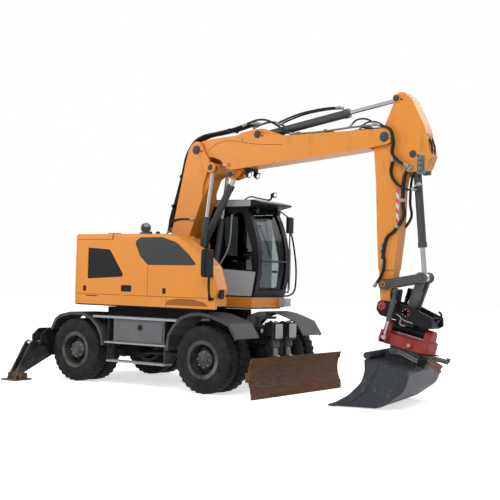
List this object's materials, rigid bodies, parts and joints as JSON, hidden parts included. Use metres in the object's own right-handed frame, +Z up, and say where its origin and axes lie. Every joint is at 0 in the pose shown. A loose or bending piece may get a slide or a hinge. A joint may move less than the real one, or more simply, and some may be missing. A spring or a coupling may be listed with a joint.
{
  "type": "wheeled excavator",
  "caption": "A yellow wheeled excavator with an articulated boom, a red tilting and turning tool head, a wide bucket, a dozer blade and outriggers.",
  "frame": {"origin": "on the ground under the middle of the overall box", "axes": "X forward from the outriggers to the blade and the bucket, Y to the cab's side, Z up"},
  "size_m": [7.1212, 4.04, 4.61],
  "materials": {
    "yellow_paint": "satin",
    "chassis_black": "satin",
    "grey_paint": "satin",
    "fender_grey": "satin",
    "tyre_rubber": "matte",
    "rim_paint": "satin",
    "dark_plastic": "matte",
    "cab_glass": "gloss",
    "seat_fabric": "matte",
    "barrel_grey": "satin",
    "chrome_rod": "gloss",
    "cast_grey": "matte",
    "red_paint": "satin",
    "bucket_paint": "satin",
    "blade_paint": "matte"
  },
  "bodies": {
    "chassis": {"chassis_frame": "chassis_black", "axle_front": "chassis_black", "axle_rear": "chassis_black", "fenders": "fender_grey", "side_steps": "grey_paint", "toolboxes": "chassis_black"},
    "knuckle_left": {"knuckle_left": "chassis_black"},
    "knuckle_right": {"knuckle_right": "chassis_black"},
    "upper": {"upper_deck": "dark_plastic", "counterweight": "yellow_paint", "right_body": "yellow_paint", "left_body": "yellow_paint", "side_panels": "dark_plastic", "engine_block": "cast_grey", "cab_shell": "dark_plastic", "cab_glazing": "cab_glass", "cab_roof": "dark_plastic", "cab_interior": "seat_fabric", "mirrors_rails": "dark_plastic"},
    "engine_hood": {"engine_hood": "yellow_paint"},
    "cab_door": {"cab_door": "dark_plastic", "door_glass": "cab_glass"},
    "boom_lower": {"boom_lower": "yellow_paint"},
    "boom_upper": {"boom_upper": "yellow_paint"},
    "stick": {"stick": "yellow_paint"},
    "rocker": {"rocker": "cast_grey"},
    "link": {"link": "cast_grey"},
    "tool_head": {"tilt_frame": "dark_plastic"},
    "rotor_housing": {"rotor_housing": "red_paint"},
    "tool": {"quick_hitch": "cast_grey", "bucket": "bucket_paint"},
    "blade": {"blade": "blade_paint"},
    "blade_barrel": {"blade_barrels": "barrel_grey"},
    "blade_rod": {"blade_rods": "chrome_rod"},
    "wheel_front_left": {"tyres_front_left": "tyre_rubber", "rims_front_left": "rim_paint"},
    "wheel_front_right": {"tyres_front_right": "tyre_rubber", "rims_front_right": "rim_paint"},
    "wheel_rear_left": {"tyres_rear_left": "tyre_rubber", "rims_rear_left": "rim_paint"},
    "wheel_rear_right": {"tyres_rear_right": "tyre_rubber", "rims_rear_right": "rim_paint"},
    "hoist_barrel": {"hoist_barrel": "barrel_grey"},
    "hoist_rod": {"hoist_rod": "chrome_rod"},
    "adjust_barrel": {"adjust_barrel": "barrel_grey"},
    "adjust_rod": {"adjust_rod": "chrome_rod"},
    "stick_barrel": {"stick_barrel": "barrel_grey"},
    "stick_rod": {"stick_rod": "chrome_rod"},
    "bucket_barrel": {"bucket_barrel": "barrel_grey"},
    "bucket_rod": {"bucket_rod": "chrome_rod"},
    "tilt_barrel_left": {"tilt_barrel_left": "barrel_grey"},
    "tilt_rod_left": {"tilt_rod_left": "chrome_rod"},
    "outrigger_left": {"outrigger_left": "chassis_black"},
    "leg_barrel_left": {"leg_barrel_left": "barrel_grey"},
    "leg_rod_left": {"leg_rod_left": "chrome_rod"},
    "tilt_barrel_right": {"tilt_barrel_right": "barrel_grey"},
    "tilt_rod_right": {"tilt_rod_right": "chrome_rod"},
    "outrigger_right": {"outrigger_right": "chassis_black"},
    "leg_barrel_right": {"leg_barrel_right": "barrel_grey"},
    "leg_rod_right": {"leg_rod_right": "chrome_rod"}
  },
  "joints": [
    {"name": "steer_left", "type": "hinge", "parent": "chassis", "child": "knuckle_left", "pos_m": [0.042, 0.72, 0.5275], "axis": [0, 0, 1], "range_deg": [-30, 30]},
    {"name": "wheel_front_left_spin", "type": "hinge", "parent": "knuckle_left", "child": "wheel_front_left", "pos_m": [0.042, 0.949, 0.5275], "axis": [0, 1, 0], "continuous": true},
    {"name": "steer_right", "type": "hinge", "parent": "chassis", "child": "knuckle_right", "pos_m": [0.042, -0.72, 0.5275], "axis": [0, 0, 1], "range_deg": [-30, 30]},
    {"name": "wheel_front_right_spin", "type": "hinge", "parent": "knuckle_right", "child": "wheel_front_right", "pos_m": [0.042, -0.949, 0.5275], "axis": [0, 1, 0], "continuous": true},
    {"name": "wheel_rear_left_spin", "type": "hinge", "parent": "chassis", "child": "wheel_rear_left", "pos_m": [-2.642, 0.949, 0.5275], "axis": [0, 1, 0], "continuous": true},
    {"name": "wheel_rear_right_spin", "type": "hinge", "parent": "chassis", "child": "wheel_rear_right", "pos_m": [-2.642, -0.949, 0.5275], "axis": [0, 1, 0], "continuous": true},
    {"name": "swing", "type": "hinge", "parent": "chassis", "child": "upper", "pos_m": [-1.3, 0, 1.262], "axis": [0, 0, 1], "continuous": true},
    {"name": "cab_door_swing", "type": "hinge", "parent": "upper", "child": "cab_door", "pos_m": [-1, 1.262, 1.775], "axis": [0, 0, 1], "range_deg": [0, 160]},
    {"name": "engine_hood_lift", "type": "hinge", "parent": "upper", "child": "engine_hood", "pos_m": [-1.86, 0, 2.44], "axis": [0, 1, 0], "range_deg": [0, 55]},
    {"name": "boom_lift", "type": "hinge", "parent": "upper", "child": "boom_lower", "pos_m": [-1.45, 0, 1.88], "axis": [0, -1, 0], "range_deg": [-47, 8]},
    {"name": "boom_stretch", "type": "hinge", "parent": "boom_lower", "child": "boom_upper", "pos_m": [-0.978, 0, 3.93], "axis": [0, -1, 0], "range_deg": [-6, 50]},
    {"name": "stick_in", "type": "hinge", "parent": "boom_upper", "child": "stick", "pos_m": [2.535, 0, 3.951], "axis": [0, 1, 0], "range_deg": [-65, 13]},
    {"name": "tool_dump", "type": "hinge", "parent": "stick", "child": "tool_head", "pos_m": [2.568, 0, 1.437], "axis": [0, -1, 0], "range_deg": [-90, 45]},
    {"name": "tool_tilt", "type": "hinge", "parent": "tool_head", "child": "rotor_housing", "pos_m": [2.94894, 0, 1.09727], "axis": [0.9767, 0, -0.2147], "range_deg": [-22.8, 27.2]},
    {"name": "tool_rotate", "type": "hinge", "parent": "rotor_housing", "child": "tool", "pos_m": [2.88612, -0.01036, 0.83484], "axis": [0.2146, 0.0384, 0.976], "continuous": true},
    {"name": "hoist_barrel_swing", "type": "hinge", "parent": "upper", "child": "hoist_barrel", "pos_m": [-0.87, 0, 1.575], "axis": [0, -1, 0], "range_deg": [-47.22, 8.87]},
    {"name": "hoist_rod_slide", "type": "slide", "parent": "hoist_barrel", "child": "hoist_rod", "axis": [0.1286, 0, 0.9917], "range_m": [-0.5277, 0.0915]},
    {"name": "adjust_barrel_swing", "type": "hinge", "parent": "boom_lower", "child": "adjust_barrel", "pos_m": [-0.93, 0, 2.33], "axis": [0, -1, 0], "range_deg": [-1.68, 6.65]},
    {"name": "adjust_rod_slide", "type": "slide", "parent": "adjust_barrel", "child": "adjust_rod", "axis": [0.4799, 0, 0.8773], "range_m": [-0.083, 0.6771]},
    {"name": "stick_barrel_swing", "type": "hinge", "parent": "boom_upper", "child": "stick_barrel", "pos_m": [0.246, 0, 4.123], "axis": [0, -1, 0], "range_deg": [-1.52, 1.1]},
    {"name": "stick_rod_slide", "type": "slide", "parent": "stick_barrel", "child": "stick_rod", "axis": [0.9868, 0, 0.1618], "range_m": [-0.649, 0.1314]},
    {"name": "blade_barrel_swing", "type": "hinge", "parent": "chassis", "child": "blade_barrel", "pos_m": [0.655, 0, 1.05], "axis": [0, -1, 0], "range_deg": [-6.12, 2.97]},
    {"name": "blade_rod_slide", "type": "slide", "parent": "blade_barrel", "child": "blade_rod", "axis": [0.1072, 0, -0.9942], "range_m": [-0.1204, 0.0475]},
    {"name": "blade_lift", "type": "hinge", "parent": "chassis", "child": "blade", "pos_m": [0.44, 0, 0.47], "axis": [0, -1, 0], "range_deg": [-10, 26]},
    {"name": "rocker_swing", "type": "hinge", "parent": "stick", "child": "rocker", "pos_m": [2.555, 0, 1.759], "axis": [0, -1, 0], "range_deg": [-62.84, 31.92]},
    {"name": "link_swing", "type": "hinge", "parent": "rocker", "child": "link", "pos_m": [3.152, 0, 1.868], "axis": [0, -1, 0], "range_deg": [-13.78, 26.56]},
    {"name": "bucket_barrel_swing", "type": "hinge", "parent": "stick", "child": "bucket_barrel", "pos_m": [2.975, 0, 3.682], "axis": [0, -1, 0], "range_deg": [-4.2, 2.6]},
    {"name": "bucket_rod_slide", "type": "slide", "parent": "bucket_barrel", "child": "bucket_rod", "axis": [0.0971, 0, -0.9953], "range_m": [-0.3076, 0.6133]},
    {"name": "tilt_left_barrel_swing", "type": "hinge", "parent": "tool_head", "child": "tilt_barrel_left", "pos_m": [2.83489, 0.29, 1.64965], "axis": [0.9767, 0, -0.2147], "range_deg": [-7.48, 8.73]},
    {"name": "tilt_left_rod_slide", "type": "slide", "parent": "tilt_barrel_left", "child": "tilt_rod_left", "axis": [-0.2141, 0.0752, -0.9739], "range_m": [-0.1604, 0.1348]},
    {"name": "tilt_right_barrel_swing", "type": "hinge", "parent": "tool_head", "child": "tilt_barrel_right", "pos_m": [2.83489, -0.29, 1.64965], "axis": [0.9767, 0, -0.2147], "range_deg": [-7.66, 8.94]},
    {"name": "tilt_right_rod_slide", "type": "slide", "parent": "tilt_barrel_right", "child": "tilt_rod_right", "axis": [-0.2137, -0.0978, -0.972], "range_m": [-0.1327, 0.1579]},
    {"name": "outrigger_left_lift", "type": "hinge", "parent": "chassis", "child": "outrigger_left", "pos_m": [-3.4, 1.1, 0.455], "axis": [1, 0, 0], "range_deg": [0, 75]},
    {"name": "outrigger_left_barrel_swing", "type": "hinge", "parent": "chassis", "child": "leg_barrel_left", "pos_m": [-3.4, 0.43, 0.69], "axis": [1, 0, 0], "range_deg": [-1, 25.69]},
    {"name": "outrigger_left_rod_slide", "type": "slide", "parent": "leg_barrel_left", "child": "leg_rod_left", "axis": [0, 0.9966, -0.0823], "range_m": [-0.3837, 0.002]},
    {"name": "outrigger_right_lift", "type": "hinge", "parent": "chassis", "child": "outrigger_right", "pos_m": [-3.4, -1.1, 0.455], "axis": [-1, 0, 0], "range_deg": [0, 75]},
    {"name": "outrigger_right_barrel_swing", "type": "hinge", "parent": "chassis", "child": "leg_barrel_right", "pos_m": [-3.4, -0.43, 0.69], "axis": [-1, 0, 0], "range_deg": [-1, 25.69]},
    {"name": "outrigger_right_rod_slide", "type": "slide", "parent": "leg_barrel_right", "child": "leg_rod_right", "axis": [0, -0.9966, -0.0823], "range_m": [-0.3837, 0.002]}
  ],
  "couplings": [
    {"joint": "steer_right", "follows": "steer_left", "ratio": 1},
    {"joint": "hoist_barrel_swing", "follows": "boom_lift", "ratio": 0.98333},
    {"joint": "hoist_rod_slide", "follows": "boom_lift", "m_per_rad": 0.64087},
    {"joint": "adjust_barrel_swing", "follows": "boom_stretch", "ratio": 0.11303},
    {"joint": "adjust_rod_slide", "follows": "boom_stretch", "m_per_rad": 0.77365},
    {"joint": "stick_barrel_swing", "follows": "stick_in", "ratio": 0.008},
    {"joint": "stick_rod_slide", "follows": "stick_in", "m_per_rad": 0.57033},
    {"joint": "blade_barrel_swing", "follows": "blade_lift", "ratio": -0.19686},
    {"joint": "blade_rod_slide", "follows": "blade_lift", "m_per_rad": -0.26097},
    {"joint": "rocker_swing", "follows": "tool_dump", "ratio": 0.68717},
    {"joint": "link_swing", "follows": "tool_dump", "ratio": -0.28404},
    {"joint": "bucket_barrel_swing", "follows": "tool_dump", "ratio": 0.0355},
    {"joint": "bucket_rod_slide", "follows": "tool_dump", "m_per_rad": -0.38916},
    {"joint": "tilt_left_barrel_swing", "follows": "tool_tilt", "ratio": 0.28436},
    {"joint": "tilt_left_rod_slide", "follows": "tool_tilt", "m_per_rad": -0.33373},
    {"joint": "tilt_right_barrel_swing", "follows": "tool_tilt", "ratio": 0.29191},
    {"joint": "tilt_right_rod_slide", "follows": "tool_tilt", "m_per_rad": 0.32849},
    {"joint": "outrigger_left_barrel_swing", "follows": "outrigger_left_lift", "ratio": 0.32918},
    {"joint": "outrigger_left_rod_slide", "follows": "outrigger_left_lift", "m_per_rad": -0.29162},
    {"joint": "outrigger_right_barrel_swing", "follows": "outrigger_right_lift", "ratio": 0.32918},
    {"joint": "outrigger_right_rod_slide", "follows": "outrigger_right_lift", "m_per_rad": -0.29162}
  ]
}
